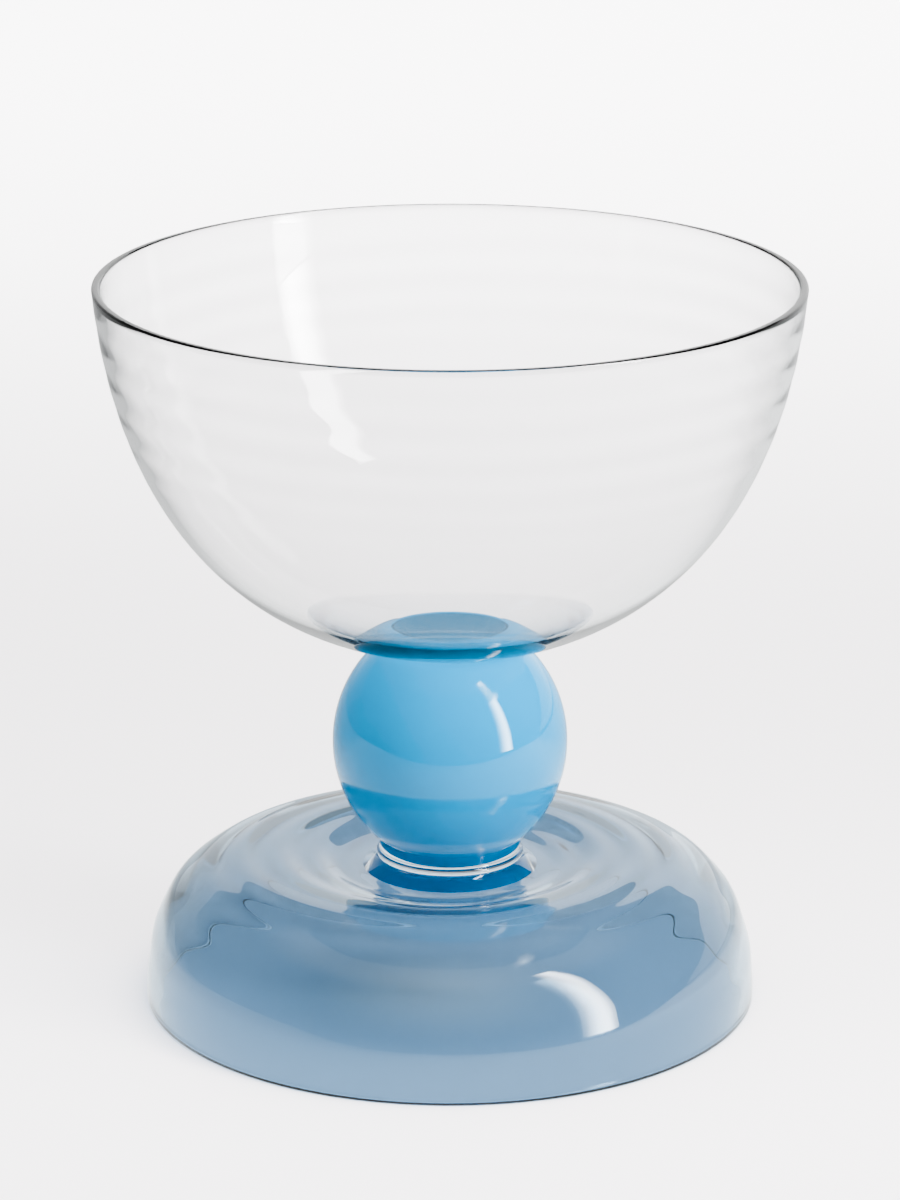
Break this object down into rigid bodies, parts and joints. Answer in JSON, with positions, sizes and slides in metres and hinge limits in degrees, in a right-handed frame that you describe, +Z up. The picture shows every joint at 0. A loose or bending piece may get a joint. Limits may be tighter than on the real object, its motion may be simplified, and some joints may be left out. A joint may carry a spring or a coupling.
{
  "type": "martini glass",
  "caption": "Stemmed drinking glass: a deep clear bowl fused through clear joints to an opaque blue glass ball on a pale blue domed hollow foot.",
  "frame": {"origin": "on the table plane, under the middle of the foot", "axes": "+Z up along the glass's own axis of revolution; X and Y are equivalent"},
  "size_m": [0.11, 0.11, 0.1163],
  "materials": {
    "clear_glass": "clear polished",
    "blue_glass": "opaque gloss",
    "pale_blue_glass": "transparent tinted, polished"
  },
  "bodies": {
    "root": {"bowl": "clear_glass", "upper_joint": "clear_glass", "stem_ball": "blue_glass", "lower_joint": "clear_glass", "foot": "pale_blue_glass"}
  },
  "joints": []
}
